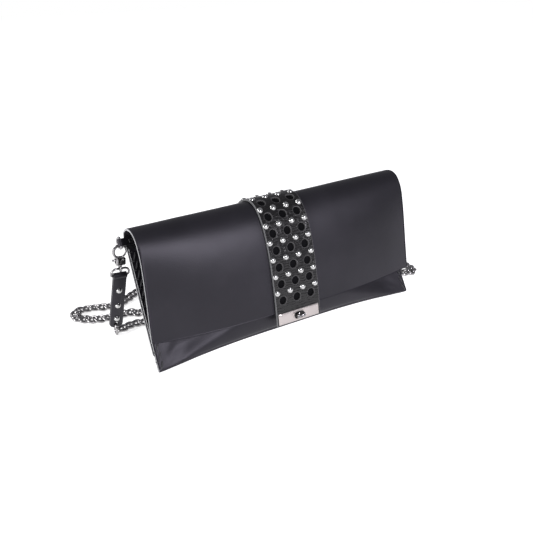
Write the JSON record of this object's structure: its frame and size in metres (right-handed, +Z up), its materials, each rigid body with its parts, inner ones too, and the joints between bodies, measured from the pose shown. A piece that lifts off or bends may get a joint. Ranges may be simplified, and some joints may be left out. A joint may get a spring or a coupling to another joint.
{
  "type": "chain wallet",
  "caption": "Folded leather wallet with a studded strap over its flap, a turn lock, and a chain clipped to a ring at each end.",
  "frame": {"origin": "on the ground, midway between the two lower corners of the pouch, on the line of its stitched sides", "axes": "+X along the pouch, +Y to its back, +Z up; the pouch leans back by 29.5 degrees"},
  "size_m": [0.3939, 0.1882, 0.1356],
  "materials": {
    "smooth_leather": "smooth black leather with a soft sheen",
    "embossed_leather": "black leather with a wavy embossed grain",
    "waxed_thread": "thick waxed black thread",
    "gunmetal": "polished black nickel",
    "bright_steel": "polished",
    "satin_nickel": "satin with bright bevelled edges"
  },
  "bodies": {
    "pouch": {"front_panel": "smooth_leather", "back_panel": "smooth_leather", "inner_pocket": "smooth_leather", "strap_back": "embossed_leather", "back_studs": "bright_steel", "back_stud_caps": "gunmetal", "lock_base": "gunmetal", "lock_washer": "gunmetal", "left_seam_stitches": "waxed_thread", "right_seam_stitches": "waxed_thread", "left_side_tab": "smooth_leather", "right_side_tab": "smooth_leather", "left_tab_rivet": "gunmetal", "right_tab_rivet": "gunmetal", "left_end_link": "gunmetal", "right_end_link": "gunmetal", "chain": "gunmetal"},
    "flap": {"flap": "smooth_leather", "strap_front": "embossed_leather", "front_studs": "bright_steel", "front_stud_caps": "gunmetal", "lock_plate": "satin_nickel", "lock_backing": "gunmetal", "lock_plate_pins": "satin_nickel"},
    "knob": {"lock_knob": "gunmetal"},
    "left_ring": {"left_d_ring": "gunmetal"},
    "left_hook": {"left_hook_body": "gunmetal", "left_gate_pin": "bright_steel", "left_gate_spring": "bright_steel"},
    "left_gate": {"left_gate": "gunmetal"},
    "left_swivel": {"left_swivel_eye": "gunmetal"},
    "left_strap_ring": {"left_strap_ring": "gunmetal"},
    "left_tab": {"left_end_tab": "smooth_leather", "left_tab_studs": "bright_steel"},
    "right_ring": {"right_d_ring": "gunmetal"},
    "right_hook": {"right_hook_body": "gunmetal", "right_gate_pin": "bright_steel", "right_gate_spring": "bright_steel"},
    "right_gate": {"right_gate": "gunmetal"},
    "right_swivel": {"right_swivel_eye": "gunmetal"},
    "right_strap_ring": {"right_strap_ring": "gunmetal"},
    "right_tab": {"right_end_tab": "smooth_leather", "right_tab_studs": "bright_steel"}
  },
  "joints": [
    {"name": "flap_lift", "type": "hinge", "parent": "pouch", "child": "flap", "pos_m": [0, 0.06789, 0.11095], "axis": [-1, 0, 0], "range_deg": [0, 135]},
    {"name": "knob_turn", "type": "hinge", "parent": "pouch", "child": "knob", "pos_m": [-0.0015, -0.01095, 0.02133], "axis": [0, -0.9854, 0.1701], "range_deg": [0, 90]},
    {"name": "left_ring_tilt", "type": "hinge", "parent": "pouch", "child": "left_ring", "pos_m": [-0.156, 0.0608, 0.10991], "axis": [0, 0.4924, 0.8704], "range_deg": [0, 60]},
    {"name": "left_hook_swing", "type": "hinge", "parent": "left_ring", "child": "left_hook", "pos_m": [-0.156, 0.06428, 0.10284], "axis": [0, 1, 0], "range_deg": [-10, 60]},
    {"name": "left_gate_press", "type": "hinge", "parent": "left_hook", "child": "left_gate", "pos_m": [-0.15455, 0.06428, 0.09201], "axis": [0, -1, 0], "range_deg": [0, 18], "stiffness_Nm_per_rad": 0.02, "springref_deg": -20.05},
    {"name": "left_swivel_turn", "type": "hinge", "parent": "left_hook", "child": "left_swivel", "pos_m": [-0.15716, 0.06428, 0.08628], "axis": [0.0698, 0, 0.9976], "range_deg": [-60, 60]},
    {"name": "left_strap_ring_swing", "type": "hinge", "parent": "left_swivel", "child": "left_strap_ring", "pos_m": [-0.15745, 0.06428, 0.08209], "axis": [-0.9976, 0, 0.0698], "range_deg": [-30, 30]},
    {"name": "left_tab_swing", "type": "hinge", "parent": "left_strap_ring", "child": "left_tab", "pos_m": [-0.15801, 0.06627, 0.07415], "axis": [-0.9976, 0, 0.0698], "range_deg": [-40, 40]},
    {"name": "right_ring_tilt", "type": "hinge", "parent": "pouch", "child": "right_ring", "pos_m": [0.156, 0.0608, 0.10991], "axis": [0, -0.4924, -0.8704], "range_deg": [0, 60]},
    {"name": "right_hook_swing", "type": "hinge", "parent": "right_ring", "child": "right_hook", "pos_m": [0.156, 0.06428, 0.10284], "axis": [0, -1, 0], "range_deg": [-10, 60]},
    {"name": "right_gate_press", "type": "hinge", "parent": "right_hook", "child": "right_gate", "pos_m": [0.15455, 0.06428, 0.09201], "axis": [0, 1, 0], "range_deg": [0, 18], "stiffness_Nm_per_rad": 0.02, "springref_deg": -20.05},
    {"name": "right_swivel_turn", "type": "hinge", "parent": "right_hook", "child": "right_swivel", "pos_m": [0.15716, 0.06428, 0.08628], "axis": [0.0698, 0, -0.9976], "range_deg": [-60, 60]},
    {"name": "right_strap_ring_swing", "type": "hinge", "parent": "right_swivel", "child": "right_strap_ring", "pos_m": [0.15745, 0.06428, 0.08209], "axis": [-0.9976, 0, -0.0698], "range_deg": [-30, 30]},
    {"name": "right_tab_swing", "type": "hinge", "parent": "right_strap_ring", "child": "right_tab", "pos_m": [0.15801, 0.06627, 0.07415], "axis": [-0.9976, 0, -0.0698], "range_deg": [-40, 40]}
  ]
}
